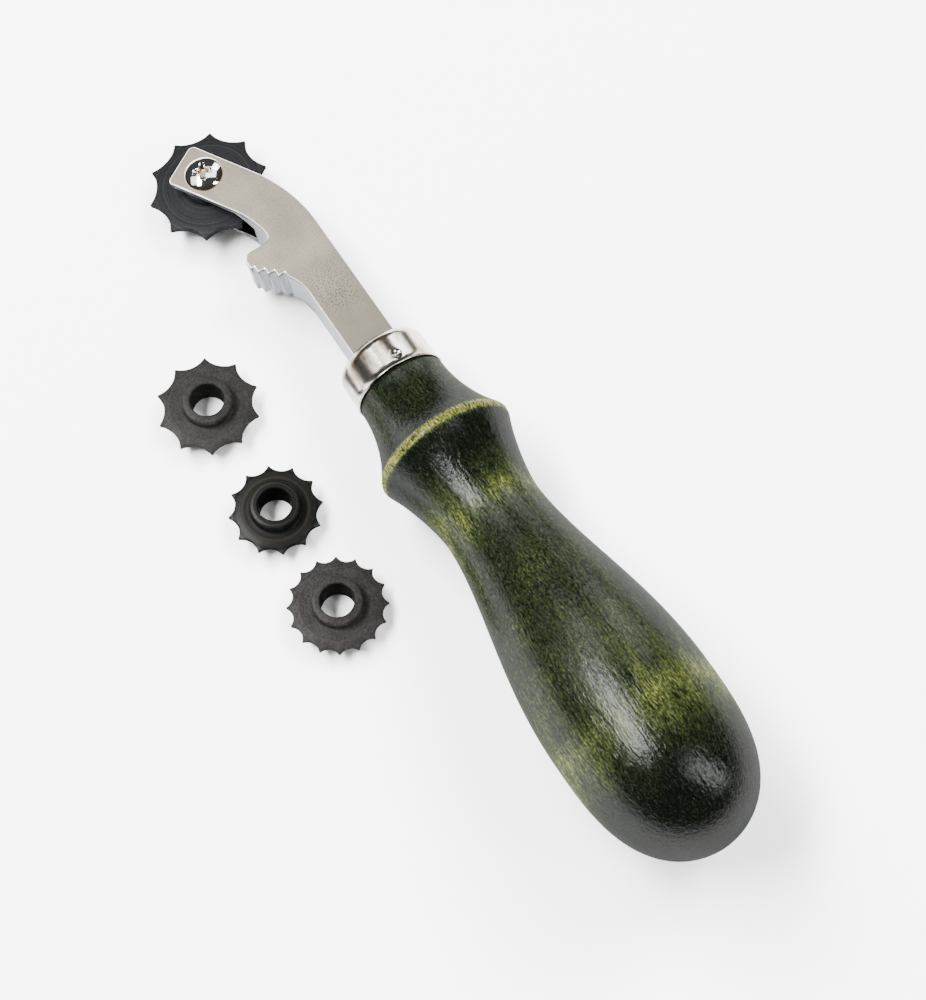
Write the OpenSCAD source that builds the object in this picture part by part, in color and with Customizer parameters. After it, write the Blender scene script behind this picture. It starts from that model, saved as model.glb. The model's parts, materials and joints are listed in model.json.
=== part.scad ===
// Stitch marking wheel with three spare wheels, lying as it is laid on a bench.
// The tool is drawn along X about the axis of its handle, with the rear rim of the
// ferrule at X = 0, the head towards -X, and the fork's flat faces square to Z.
// laid() then rests it on the bead of the handle and the front edge of the head.

/* [Handle] */
// Length of the handle behind the ferrule
handle_len = 72.3; // [60:0.1:100]
// Diameter of the handle where it leaves the ferrule
shoulder_d = 12.1; // [11.5:0.1:14]
// Diameter of the bead's crest
bead_d = 18.7; // [15:0.1:24]
// Distance of the bead's crest behind the ferrule
bead_x = 10.8; // [8:0.1:16]
// Rounding of the bead's crest
bead_round = 0.8; // [0.3:0.1:1.5]
// Diameter of the neck behind the bead
neck_d = 13.5; // [11:0.1:17]
// Distance of the neck behind the ferrule
neck_x = 21.9; // [18:0.1:30]
// Greatest diameter of the bulb
bulb_d = 22.2; // [18:0.1:30]
// Distance of the bulb's greatest diameter behind the ferrule
bulb_x = 52.7; // [40:0.1:58]

/* [Ferrule] */
// Outside diameter of the ferrule
ferrule_d = 12.1; // [11.6:0.1:14]
// Length of the ferrule
ferrule_len = 5.6; // [4:0.1:12]
// Thickness of the ferrule's sheet
ferrule_wall = 0.5; // [0.3:0.05:1]
// Rounding of the ferrule's front shoulder
ferrule_round = 1.5; // [0.6:0.1:2]
// Diameter of the punched dimple that keys the ferrule to the wood
dimple_d = 1.3; // [0.8:0.1:2]
// Depth of the dimple
dimple_depth = 0.3; // [0.1:0.05:0.45]
// Distance of the dimple ahead of the ferrule's rear rim
dimple_x = 1.5; // [1:0.1:3]
// Turn of the dimple about the handle, from the top towards +Y
dimple_turn = 11; // [0:1:90]

/* [Fork] */
// Width of the fork's bar, across its flat faces
bar_w = 6.3; // [5.8:0.1:9]
// Thickness of the fork, over both tines
fork_t = 6.6; // [6.3:0.1:9]
// Distance of the axle ahead of the ferrule's rear rim
axle_reach = 40; // [36:0.1:55]
// Distance of the axle below the handle's axis
axle_drop = 5.6; // [4:0.1:8]
// Angle of the head to the handle
head_angle = 30; // [20:1:34]
// Distance from the axle to the front edge of the head
nose = 3.8; // [3.5:0.05:6]
// Rounding of the head's two front corners
nose_corner = 0.8; // [0.3:0.1:2]
// Outside radius of the bend between head and shank
bend_r = 22; // [16:0.5:24]
// Diameter of the round tang in the handle
tang_d = 5; // [3:0.1:6]
// Length of the tang
tang_len = 24; // [12:0.5:40]
// Clearance round the tang and round the handle's spigot
seat_gap = 0.02; // [0.01:0.01:0.05]

/* [Thumb rest] */
// Distance of the thumb rest's front face ahead of the ferrule's rear rim
rest_x = 26.4; // [25:0.1:28]
// Reach of the thumb rest's tip below the handle's axis
rest_drop = 7.6; // [6.5:0.1:9]
// Rounding of the thumb rest's tip
rest_tip_r = 1.3; // [0.5:0.1:2]
// Length of the flat tip of the thumb rest, from its front face to the first step
rest_tip_len = 2.3; // [1.8:0.1:3.5]
// Depth by which the thumb rest's underside stands back from the fork's lower face
rest_relief = 0.7; // [0.2:0.1:1.5]
// Radius of the notch between the head and the thumb rest
notch_r = 1.0; // [0.5:0.1:1.4]
// Number of grip steps
step_count = 4; // [2:1:5]
// Length of a grip step
step_len = 1.0; // [0.6:0.05:1.2]
// Height of a grip step
step_rise = 0.95; // [0.6:0.05:1.1]
// Height of the lowest step's tread below the bar's edge
heel_drop = 1.1; // [0.6:0.05:1.5]
// Length of the flat heel behind the last step
heel_len = 0.75; // [0.3:0.05:1.5]
// Radius of the hollow that leads the heel into the bar
heel_r = 7; // [4:0.5:12]

/* [Axle screw] */
// Diameter of the screw's plain shoulder
shoulder_screw_d = 4.3; // [3.8:0.05:4.8]
// Diameter of the threaded end
thread_d = 3.4; // [2.5:0.1:3.6]
// Diameter of the screw's head
screw_head_d = 5.15; // [4.9:0.05:5.6]
// Height of the straight side of the head
screw_rim = 0.5; // [0.3:0.05:0.8]
// Height of the dome above the side
screw_dome = 0.75; // [0.4:0.05:1]
// Width of the driver recess's wings
recess_w = 0.8; // [0.5:0.05:1]
// Length of the driver recess over both wings
recess_len = 2.7; // [2:0.1:3.4]
// Depth of the driver recess below the top of the dome
recess_depth = 0.85; // [0.5:0.05:1.1]
// Turn of the recess
recess_turn = 35; // [0:1:90]
// Depth of the seat sunk in the fork for the head
seat_depth = 0.3; // [0.1:0.05:0.4]
// Gap round the head in its seat
seat_rim_gap = 0.35; // [0.2:0.05:0.5]

/* [Wheels] */
// Diameter of the wheels' bore
bore_d = 4.4; // [4.1:0.05:4.9]
// Diameter of the wheels' hub
hub_d = 6.4; // [5.8:0.1:7.5]
// Length of the wheels' hub
hub_len = 4.7; // [4:0.1:5.2]
// Free play of the hub between the tines, on each side
hub_play = 0.1; // [0.05:0.01:0.2]
// Thickness of a wheel's disc
disc_t = 1.2; // [0.8:0.1:1.6]
// Thickness left at a tooth's point
tip_t = 0.5; // [0.3:0.05:0.8]
// Width of the bevel that thins the disc towards its teeth
bevel_w = 1.6; // [1:0.1:2.2]
// Width of the land left at a tooth's point, along the rim
tip_land = 0.12; // [0.05:0.01:0.3]
// Depth of a hollow between two teeth, before the share of the tooth spacing
hollow_base = 0.35; // [0.2:0.05:0.5]
// Share of the tooth spacing that is added to a hollow's depth
hollow_share = 0.10; // [0.05:0.01:0.15]
// Stitches per inch and teeth of the mounted wheel
mounted_wheel = [5, 10];
// Turn of the mounted wheel about its axle
mounted_turn = 4; // [0:1:36]
// Stitches per inch and teeth of each spare wheel
spare_wheels = [[6, 10], [8, 12], [10, 16]];
// Turns of the spare wheels on the bench
spare_turns = [9.5, 7.8, 15.6];
// Distance of the row of spare wheels from the handle's axis
spare_row_y = 21.3; // [17:0.1:40]
// Places of the spare wheels along the handle, behind the ferrule's rear rim
spare_x = [-13.2, 3.7, 18.8];
// Lowest room between the tips of the mounted wheel and the end of the slot
slot_room = 1.15; // [0.5:0.05:1.5]
// Length over which the slot narrows towards its end
slot_taper = 3; // [1:0.1:4]
// Height of the slot's end above the wheel's middle plane
slot_end_up = 0.8; // [0.7:0.05:1.5]
// Height of the slot's end below the wheel's middle plane
slot_end_down = 2.0; // [0.7:0.05:2.2]

/* [Hidden] */
$fn = 96;
inch = 25.4;
eps = 0.01;
arc_steps = 16;

// The slot takes the hub and its free play, and what is left makes the two tines.
slot_h = hub_len / 2 + hub_play;
mounted_r = tip_radius(mounted_wheel);
slot_end = mounted_r + slot_room;
head_z = fork_t / 2 - seat_depth;
axle = [-axle_reach, -axle_drop];
bar_half = bar_w / 2;

// The bend's centre keeps both the head's and the shank's outer edges tangent to it.
bend_c = [axle.x + ((bar_half - bend_r + axle_drop) * cos(head_angle) - (bar_half - bend_r))
                   / sin(head_angle),
          bar_half - bend_r];
bend_in = bend_r - bar_w;
front_x = -ferrule_len;

// Wheels: the tips stand on a circle whose circumference is the stitches it marks. A hollow
// runs from the land of one tip to the land of the next.
function tip_radius(w) = w[1] * inch / w[0] / (2 * PI);
function land_angle(w) = asin(tip_land / 2 / tip_radius(w));
function tip_chord(w) = 2 * tip_radius(w) * sin(180 / w[1] - land_angle(w));
function hollow_depth(w) = hollow_base + hollow_share * tip_chord(w);
function hollow_radius(w) = pow(tip_chord(w), 2) / (8 * hollow_depth(w)) + hollow_depth(w) / 2;
function hollow_centre(w) =
    tip_radius(w) * cos(180 / w[1] - land_angle(w)) - hollow_depth(w) + hollow_radius(w);

function arc(c, r, from, to) =
    [for (i = [0:arc_steps]) c + r * [cos(from + (to - from) * i / arc_steps),
                                      sin(from + (to - from) * i / arc_steps)]];

// Tilt of the tool on the bench: the front edge of the head and the bead both touch it.
head_dir = [cos(head_angle), sin(head_angle)];
head_left = [-head_dir.y, head_dir.x];
edge_reach = bead_x * cos(head_angle) - (axle * head_dir - nose);
function bead_low(a) = bead_d / 2 * sqrt(1 - pow(cos(head_angle) * sin(a), 2));
function rest_tilt(a, n) =
    n == 0 ? a : rest_tilt(asin((bead_low(a) - fork_t / 2 * cos(a)) / edge_reach), n - 1);
tilt = rest_tilt(6, 6);
lift = bead_low(tilt) - bead_x * cos(head_angle) * sin(tilt);

// The origin is the middle of the whole layout on the bench, from the mounted wheel's
// foremost tooth to the butt, and from the spare wheels to the far side of the bulb.
axle_x = (axle * head_dir) * head_dir.x * cos(tilt) - (axle * head_left) * head_dir.y;
front_end = axle_x - mounted_r;
butt_x = handle_len * (1 - pow(head_dir.x, 2) * (1 - cos(tilt)));
widest_spare = max([for (w = spare_wheels) tip_radius(w)]);
centre_x = (front_end + butt_x) / 2;
centre_y = (bulb_d / 2 - spare_row_y - widest_spare) / 2;

module laid() {
    translate([-centre_x, -centre_y, lift])
        rotate(a = tilt, v = [head_dir.y, -head_dir.x, 0])
            children();
}

// Outline of the turned handle: [distance behind the ferrule, radius].
function rise(x) = shoulder_d / 2 + (bead_d - shoulder_d) / 2 * pow(x / bead_x, 2);
function fall(x) = neck_d / 2 + (bead_d - neck_d) / 2 * pow((neck_x - x) / (neck_x - bead_x), 1.6);
function swell(x) = neck_d / 2 + (bulb_d - neck_d) / 4
                    * (1 - cos(180 * pow((x - neck_x) / (bulb_x - neck_x), 0.85)));
function butt(x) = bulb_d / 2 * sqrt(1 - pow((x - bulb_x) / (handle_len - bulb_x), 3));

rise_steps = 14;
fall_steps = 14;
swell_steps = 24;
butt_steps = 20;
function between(a, b, i, n) = a + (b - a) * i / n;
handle_side = concat(
    [for (i = [0:rise_steps]) let (x = between(0, bead_x - bead_round, i, rise_steps)) [x, rise(x)]],
    [[bead_x, bead_d / 2]],
    [for (i = [0:fall_steps]) let (x = between(bead_x + bead_round, neck_x, i, fall_steps)) [x, fall(x)]],
    [for (i = [1:swell_steps]) let (x = between(neck_x, bulb_x, i, swell_steps)) [x, swell(x)]],
    [for (i = [1:butt_steps])
        let (x = bulb_x + (handle_len - bulb_x) * sin(90 * i / butt_steps))
        [x, i == butt_steps ? 0 : butt(x)]]);

spigot_r = ferrule_d / 2 - ferrule_wall - seat_gap;
spigot_len = ferrule_len - ferrule_wall;
tang_bore_end = front_x + tang_len + 1;

// Turns a list of [distance along X, radius] about the X axis.
module turned(points) {
    rotate([0, 90, 0])
        rotate_extrude()
            polygon([for (p = points) [p[1], p[0]]]);
}

module handle() {
    color("#26331c")
        laid()
            difference() {
                turned(concat([[-spigot_len, 0], [-spigot_len, spigot_r], [0, spigot_r]], handle_side));
                translate([-spigot_len - eps, 0, 0])
                    rotate([0, 90, 0])
                        cylinder(r = tang_d / 2 + seat_gap, h = tang_bore_end + spigot_len + eps);
            }
}

module ferrule() {
    outer = ferrule_d / 2;
    inner = outer - ferrule_wall;
    round_c = [front_x + ferrule_round, outer - ferrule_round];
    inner_round = max(ferrule_round - ferrule_wall, 0.1);
    inner_c = [front_x + ferrule_wall + inner_round, inner - inner_round];
    hole_r = tang_d / 2 + seat_gap;
    dimple_r = (pow(dimple_d / 2, 2) + pow(dimple_depth, 2)) / (2 * dimple_depth);
    color("#c8c4bc")
        laid()
            difference() {
                turned(concat([[front_x, hole_r]],
                              arc(round_c, ferrule_round, 180, 90),
                              [[0, outer], [0, inner], [-spigot_len, inner], [-spigot_len, hole_r]]));
                rotate([-dimple_turn, 0, 0])
                    translate([-dimple_x, 0, outer + dimple_r - dimple_depth])
                        sphere(r = dimple_r);
            }
}

// Outline of the fork's flat face.
function head_point(s, t) = axle + s * head_dir + t * head_left;
nose_in = nose - nose_corner;
side_in = bar_half - nose_corner;
notch_x = -rest_x - notch_r;
notch_y = bend_c.y + sqrt(pow(bend_in - notch_r, 2) - pow(notch_x - bend_c.x, 2));
notch_angle = atan2(notch_y - bend_c.y, notch_x - bend_c.x);
step_x = -rest_x + rest_tip_len;
heel_y = -bar_half - heel_drop;
last_step = step_count - 1;
function tread_x(k) = step_x + k * step_len;
heel_x = tread_x(last_step) + heel_len;
heel_end = acos((heel_r - heel_drop) / heel_r);
heel_c = [heel_x + heel_r * sin(heel_end), -bar_half - heel_r];

fork_side = concat(
    [[front_x, bar_half]],
    arc(bend_c, bend_r, 90, 90 + head_angle),
    arc(head_point(-nose_in, side_in), nose_corner, 90 + head_angle, 180 + head_angle),
    arc(head_point(-nose_in, -side_in), nose_corner, 180 + head_angle, 270 + head_angle),
    arc(bend_c, bend_in, 90 + head_angle, notch_angle),
    arc([notch_x, notch_y], notch_r, notch_angle, 0),
    arc([-rest_x + rest_tip_r, -rest_drop + rest_tip_r], rest_tip_r, 180, 270),
    [[step_x, -rest_drop]],
    [for (k = [0:last_step]) for (x = [tread_x(k), k < last_step ? tread_x(k + 1) : heel_x])
        [x, heel_y - (last_step - k) * step_rise]],
    arc(heel_c, heel_r, 90 + heel_end, 90),
    [[front_x, -bar_half]]);

// Places what is drawn about the axle, with X along the head towards the handle.
module at_axle() {
    translate([axle.x, axle.y, 0])
        rotate([0, 0, head_angle])
            children();
}

module wheel_fork() {
    taper_start = slot_end - slot_taper;
    mouth = -nose - 1;
    color("#b8b2a5")
        laid()
            difference() {
                union() {
                    linear_extrude(height = fork_t, center = true)
                        polygon(fork_side);
                    translate([front_x - eps, 0, 0])
                        rotate([0, 90, 0])
                            cylinder(r = tang_d / 2, h = tang_len + eps);
                }
                translate([-rest_x - eps, -rest_drop - 1, -fork_t])
                    cube([heel_c.x + rest_x, rest_drop + 1 - bar_half, fork_t / 2 + rest_relief]);
                at_axle() {
                    rotate([90, 0, 0])
                        linear_extrude(height = 3 * bar_w, center = true)
                            polygon([[mouth, -slot_h], [taper_start, -slot_h], [slot_end, -slot_end_down],
                                     [slot_end, slot_end_up], [taper_start, slot_h], [mouth, slot_h]]);
                    translate([0, 0, slot_h - eps])
                        cylinder(d = bore_d, h = fork_t);
                    translate([0, 0, head_z])
                        cylinder(d = screw_head_d + 2 * seat_rim_gap, h = fork_t);
                    translate([0, 0, -fork_t])
                        cylinder(d = thread_d + 2 * seat_gap, h = fork_t);
                }
            }
}

module axle_screw() {
    head_r = screw_head_d / 2;
    dome_r = (pow(head_r, 2) + pow(screw_dome, 2)) / (2 * screw_dome);
    top = head_z + screw_rim + screw_dome;
    color("#e6e4df")
        laid()
            at_axle()
                difference() {
                    union() {
                        translate([0, 0, -fork_t / 2])
                            cylinder(d = thread_d, h = fork_t / 2);
                        translate([0, 0, -slot_h])
                            cylinder(d = shoulder_screw_d, h = slot_h + head_z);
                        translate([0, 0, head_z])
                            cylinder(r = head_r, h = screw_rim);
                        intersection() {
                            translate([0, 0, top - dome_r])
                                sphere(r = dome_r);
                            translate([0, 0, head_z + eps])
                                cylinder(r = head_r, h = screw_rim + screw_dome);
                        }
                    }
                    for (turn = [0, 90])
                        rotate([0, 0, recess_turn + turn])
                            translate([-recess_len / 2, -recess_w / 2, top - recess_depth])
                                cube([recess_len, recess_w, 2 * recess_depth]);
                }
}

// One turned wheel about Z, with its disc in the middle of its hub.
module wheel(w) {
    r = tip_radius(w);
    difference() {
        rotate_extrude()
            polygon([[bore_d / 2, -hub_len / 2], [hub_d / 2, -hub_len / 2], [hub_d / 2, -disc_t / 2],
                     [r - bevel_w, -disc_t / 2], [r, -tip_t / 2], [r, tip_t / 2],
                     [r - bevel_w, disc_t / 2], [hub_d / 2, disc_t / 2], [hub_d / 2, hub_len / 2],
                     [bore_d / 2, hub_len / 2]]);
        for (k = [0:w[1] - 1])
            rotate([0, 0, (k + 0.5) * 360 / w[1]])
                translate([hollow_centre(w), 0, -disc_t])
                    cylinder(r = hollow_radius(w), h = 2 * disc_t);
    }
}

module spare_wheel(k) {
    color("#484644")
        translate([spare_x[k] - centre_x, -spare_row_y - centre_y, hub_len / 2])
            rotate([0, 0, spare_turns[k]])
                wheel(spare_wheels[k]);
}

module marking_wheel_5() {
    color("#3a3c3e")
        laid()
            at_axle()
                rotate([0, 0, mounted_turn - head_angle])
                    wheel(mounted_wheel);
}

module marking_wheel_6() {
    spare_wheel(0);
}

module marking_wheel_8() {
    spare_wheel(1);
}

module marking_wheel_10() {
    spare_wheel(2);
}

handle();
ferrule();
wheel_fork();
axle_screw();
marking_wheel_5();
marking_wheel_6();
marking_wheel_8();
marking_wheel_10();
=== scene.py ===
# %% [markdown]
# # A stitch marking wheel and its three spare wheels
# A leatherworker rolls this tool along a seam, and the teeth prick evenly spaced stitch
# marks. A steel fork holds a toothed wheel on a screw, and a ferrule joins the fork to a
# turned handle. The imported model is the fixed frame. Everything visible is built around it.

# %% Load the frame
import json
import math
import bmesh
import bpy
from mathutils import Matrix, Vector


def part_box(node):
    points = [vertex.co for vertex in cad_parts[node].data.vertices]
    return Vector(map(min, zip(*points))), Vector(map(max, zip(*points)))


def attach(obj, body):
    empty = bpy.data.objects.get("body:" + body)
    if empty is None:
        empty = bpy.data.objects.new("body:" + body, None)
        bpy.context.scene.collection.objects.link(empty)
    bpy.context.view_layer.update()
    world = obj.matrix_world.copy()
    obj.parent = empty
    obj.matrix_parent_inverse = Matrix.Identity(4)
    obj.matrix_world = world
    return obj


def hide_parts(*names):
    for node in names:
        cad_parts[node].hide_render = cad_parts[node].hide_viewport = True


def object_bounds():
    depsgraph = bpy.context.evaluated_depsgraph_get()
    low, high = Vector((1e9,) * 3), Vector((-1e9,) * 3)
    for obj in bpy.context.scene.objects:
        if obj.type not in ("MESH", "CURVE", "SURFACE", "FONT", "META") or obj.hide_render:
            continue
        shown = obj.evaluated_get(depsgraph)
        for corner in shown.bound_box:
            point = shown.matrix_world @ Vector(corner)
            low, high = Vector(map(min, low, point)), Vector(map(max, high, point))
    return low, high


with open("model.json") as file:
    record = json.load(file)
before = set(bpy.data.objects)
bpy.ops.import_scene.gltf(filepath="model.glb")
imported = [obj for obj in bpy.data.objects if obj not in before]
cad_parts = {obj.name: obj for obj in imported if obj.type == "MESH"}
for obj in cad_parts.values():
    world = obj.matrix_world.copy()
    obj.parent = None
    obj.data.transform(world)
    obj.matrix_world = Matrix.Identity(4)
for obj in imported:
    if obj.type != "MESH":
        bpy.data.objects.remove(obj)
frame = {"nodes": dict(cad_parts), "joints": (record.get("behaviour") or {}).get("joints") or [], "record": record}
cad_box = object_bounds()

print("nodes:", ", ".join(sorted(frame["nodes"])))

# %% [markdown]
# ## Where the tool lies
# The tool rests on the bead of its handle and on the front of its head, so it is a few
# degrees out of level. Drawing it tilted would be awkward. Each piece is drawn straight
# instead, in millimetres: X runs along the handle from the ferrule's rear rim, and the
# fork's flat faces are square to Z. The wheel's hinge says where the fork really is, and
# that gives one matrix which lays every finished piece in its place.

# %% Work out the matrix that lays the tool down
MM = 0.001
AXLE = Vector((-40.0, -5.6, 0.0))        # the wheel's centre in the straight drawing
joints = {joint["name"]: joint for joint in frame["joints"]}
fork_normal = Vector(joints["wheel_spin"]["axis"]).normalized()
wheel_centre = Vector(joints["wheel_spin"]["pos_m"])
head_angle = math.atan2(-fork_normal.y, -fork_normal.x)
tilt = Vector((0, 0, 1)).rotation_difference(fork_normal)
laid = (Matrix.Translation(wheel_centre) @ tilt.to_matrix().to_4x4()
        @ Matrix.Scale(MM, 4) @ Matrix.Translation(-AXLE))
at_axle = laid @ Matrix.Translation(AXLE) @ Matrix.Rotation(head_angle, 4, "Z")
upright = Matrix.Rotation(-math.pi / 2, 4, "Y")
print(f"tilt {math.degrees(tilt.angle):.2f}, head angle {math.degrees(head_angle):.2f} degrees")

# %% [markdown]
# ## Helpers for pieces
# Most of these pieces are turned on a lathe, so one helper spins a profile about X. A few
# more make a flat prism, cut holes, soften edges and bake modifiers. A baked piece has no
# modifiers left, and its place is in its mesh, as the frame needs.

# %% Make, cut, soften and bake a mesh
def new_piece(name, points, faces):
    """A mesh object from its points and faces, with its place in its mesh."""
    mesh = bpy.data.meshes.new(name)
    mesh.from_pydata([tuple(p) for p in points], [], faces)
    piece = bpy.data.objects.new(name, mesh)
    bpy.context.scene.collection.objects.link(piece)
    return piece


def bake(piece):
    """Turns the piece and its modifiers into a plain mesh."""
    evaluated = piece.evaluated_get(bpy.context.evaluated_depsgraph_get())
    mesh = bpy.data.meshes.new_from_object(evaluated)
    piece.modifiers.clear()
    piece.data = mesh
    return piece


def combine(piece, other, operation):
    """Cuts the other piece out of this one, or adds it, and removes the other."""
    modifier = piece.modifiers.new(operation, "BOOLEAN")
    modifier.operation = operation
    modifier.solver = "EXACT"
    modifier.object = other
    bake(piece)
    bpy.data.objects.remove(other)
    return piece


def soften(piece, width, segments, angle):
    """Rounds the edges that are sharper than the angle."""
    modifier = piece.modifiers.new("soften", "BEVEL")
    modifier.width = width
    modifier.segments = segments
    modifier.limit_method = "ANGLE"
    modifier.angle_limit = math.radians(angle)
    modifier.use_clamp_overlap = False
    return bake(piece)


def arc(centre, radius, start, end, steps=16):
    """Points on an arc about a 2-D centre, with its angles in degrees."""
    angles = [math.radians(start + (end - start) * i / steps) for i in range(steps + 1)]
    return [(centre[0] + radius * math.cos(a), centre[1] + radius * math.sin(a)) for a in angles]


# %% Spin a profile, or extrude an outline
def lathe(name, profile, around=128, shape=None):
    """Spins (x, radius) points about X. A radius of 0 is a pole, and shape may alter a radius."""
    points = []
    rings = []
    for x, radius in profile:
        if radius == 0:
            rings.append([len(points)] * around)        # every corner of this ring is the pole
            points.append((x, 0, 0))
            continue
        rings.append(list(range(len(points), len(points) + around)))
        for i in range(around):
            turn = 2 * math.pi * i / around
            r = shape(x, radius, turn) if shape else radius
            points.append((x, r * math.sin(turn), r * math.cos(turn)))
    faces = []
    for one, two in zip(rings, rings[1:]):
        for i in range(around):
            j = (i + 1) % around
            corners = [one[i], one[j], two[j], two[i]]
            faces.append(list(dict.fromkeys(corners)))
    return new_piece(name, points, faces)


def prism(name, outline, low, high):
    """Extrudes a closed 2-D outline along Z."""
    n = len(outline)
    points = [(x, y, low) for x, y in outline] + [(x, y, high) for x, y in outline]
    walls = [(i, (i + 1) % n, n + (i + 1) % n, n + i) for i in range(n)]
    return new_piece(name, points, [tuple(range(n))[::-1], tuple(range(n, 2 * n))] + walls)


# %% Place a finished piece, hide the part it stands for and join it to its body
def finish_piece(piece, place, material, body, node, smooth_angle=32, flat_faces=False):
    """Lays the mesh in its place, points its faces outwards and joins it to its body."""
    mesh = piece.data
    work = bmesh.new()
    work.from_mesh(mesh)
    bmesh.ops.remove_doubles(work, verts=work.verts, dist=1e-4)
    bmesh.ops.recalc_face_normals(work, faces=work.faces)
    open_edges = sum(1 for edge in work.edges if len(edge.link_faces) != 2)
    work.to_mesh(mesh)
    work.free()
    mesh.transform(place)
    mesh.shade_smooth()
    mesh.set_sharp_from_angle(angle=math.radians(smooth_angle))
    mesh.materials.clear()
    mesh.materials.append(material)
    if flat_faces:
        # Large flat faces keep their own normal, and only the rounded edges turn.
        modifier = piece.modifiers.new("flat faces", "WEIGHTED_NORMAL")
        modifier.keep_sharp = True
        mesh = bake(piece).data
    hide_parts(node)
    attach(piece, body)
    print(piece.name, len(mesh.polygons), "faces,", open_edges, "open edges")
    return piece


# %% [markdown]
# ## Helpers for finishes
# A finish is a small tree of nodes. Its pattern has to stay on the piece however it lies,
# so each tree starts from Object coordinates, and one Mapping node turns them back into
# the straight drawing's millimetres. Every scale after that is a real size.

# %% Read a colour and add a node
MATH, VECTOR_MATH, RANGE = "ShaderNodeMath", "ShaderNodeVectorMath", "ShaderNodeMapRange"
SEPARATE, MAPPING, NOISE = "ShaderNodeSeparateXYZ", "ShaderNodeMapping", "ShaderNodeTexNoise"
RAMP, MIX, BUMP = "ShaderNodeValToRGB", "ShaderNodeMix", "ShaderNodeBump"


def colour(code):
    """An sRGB hex colour as the linear RGBA that Blender works in."""
    parts = [int(code[i:i + 2], 16) / 255 for i in (1, 3, 5)]
    return [c / 12.92 if c <= 0.04045 else ((c + 0.055) / 1.055) ** 2.4 for c in parts] + [1.0]


def add(tree, kind, inputs=(), out=0, stops=(), **settings):
    """Adds one node with its settings and links, and returns one of its outputs.

    Inputs are values, or sockets to link, in order or by name or number. A range node takes a
    value, the two ends it comes between and the two ends it is moved to. Stops are a ramp's:
    a position with a colour, or with a plain number for a grey.
    """
    node = tree.nodes.new(kind)
    for name, value in settings.items():
        setattr(node, name, value)
    for key, value in inputs.items() if isinstance(inputs, dict) else enumerate(inputs):
        if isinstance(value, bpy.types.NodeSocket):
            tree.links.new(value, node.inputs[key])
        else:
            node.inputs[key].default_value = value
    for i, (position, look) in enumerate(stops):
        elements = node.color_ramp.elements
        stop = elements[i] if i < 2 else elements.new(position)
        stop.position = position
        stop.color = colour(look) if isinstance(look, str) else (look, look, look, 1.0)
    return node.outputs[out] if node.outputs else node


# %% Start a finish, and scatter blotches of a real size
def finish(name, place, **shader):
    """A new material, its tree, its shader's inputs, and the piece's own millimetres."""
    material = bpy.data.materials.new(name)
    material.use_nodes = True
    tree = material.node_tree
    surface = tree.nodes["Principled BSDF"].inputs
    for key, value in shader.items():
        surface[key.replace("_", " ")].default_value = value
    where = add(tree, MAPPING, {
        "Vector": add(tree, "ShaderNodeTexCoord", out="Object"), "Scale": (MM, MM, MM),
        "Location": place.to_translation(), "Rotation": place.to_euler()}, vector_type="TEXTURE")
    return material, tree, surface, where


def blotches(tree, where, size, detail=4.0, roughness=0.55):
    """A pattern from 0 to 1 whose blotches are about size millimetres along X, Y and Z."""
    scaled = add(tree, MAPPING, {"Vector": where, "Scale": tuple(1 / s for s in size)})
    return add(tree, NOISE, {
        "Vector": scaled, "Scale": 1.0, "Detail": detail, "Roughness": roughness})


# %% [markdown]
# ## The handle's wood
# The handle is beech, turned, rubbed with a green-black stain and sealed under gloss
# lacquer. The stain sits dark wherever it pooled. It was rubbed thin on the bead's crest,
# in the neck and in a band round the bulb, where the yellow-green wood glows through.
# Under the lacquer the fibres run along the handle as fine ticks, and they also lift the
# lacquer a little, which frays the highlights. So the colour comes from how far along the
# handle a point is, plus clouds and fibres, and the gloss is the shader's coat. A picture of
# wood could be wrapped round instead, but it would smear at the butt, and these rules
# don't. A coat of high IOR and low weight gives lacquer's highlight, and keeps the handle's
# sides dark where the eye meets them at a slant.

# %% Set the handle's sizes
HANDLE_LENGTH = 72.3
SHOULDER_R = 6.05
BEAD_X, BEAD_R, CREST_BLEND = 10.8, 9.35, 0.15
NECK_X, NECK_R = 21.9, 6.75
BULB_X, BULB_R = 52.7, 11.1
SPIGOT_R, SPIGOT_LENGTH = 5.53, 5.1
BORE_R, BORE_END = 2.52, 19.4

# %% Say how light the rubbed wood is, and what colour that gives
# Each position is a share of the handle's length, from the shoulder to the butt.
RUBBED_BANDS = [
    (0.0, 0.21), (0.09, 0.20), (0.14, 0.12), (0.20, 0.12), (0.25, 0.26), (0.30, 0.48),
    (0.335, 0.34), (0.38, 0.24), (0.60, 0.24), (0.71, 0.29), (0.755, 0.53), (0.80, 0.42),
    (0.85, 0.19), (0.90, 0.09), (1.0, 0.06)]
CREST_LINE = [(0.0, 0.0), (0.136, 0.0), (0.142, 1.0), (0.156, 1.0), (0.162, 0.0), (1.0, 0.0)]
STAIN = [(0.0, "#070906"), (0.14, "#0f140d"), (0.30, "#242b17"), (0.48, "#434a25"),
         (0.70, "#777a38"), (1.0, "#b3ad5c")]
# Beech fibres are about 0.02 mm wide, too fine to show, so they are drawn ten times as wide.
FIBRE = 0.22


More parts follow.
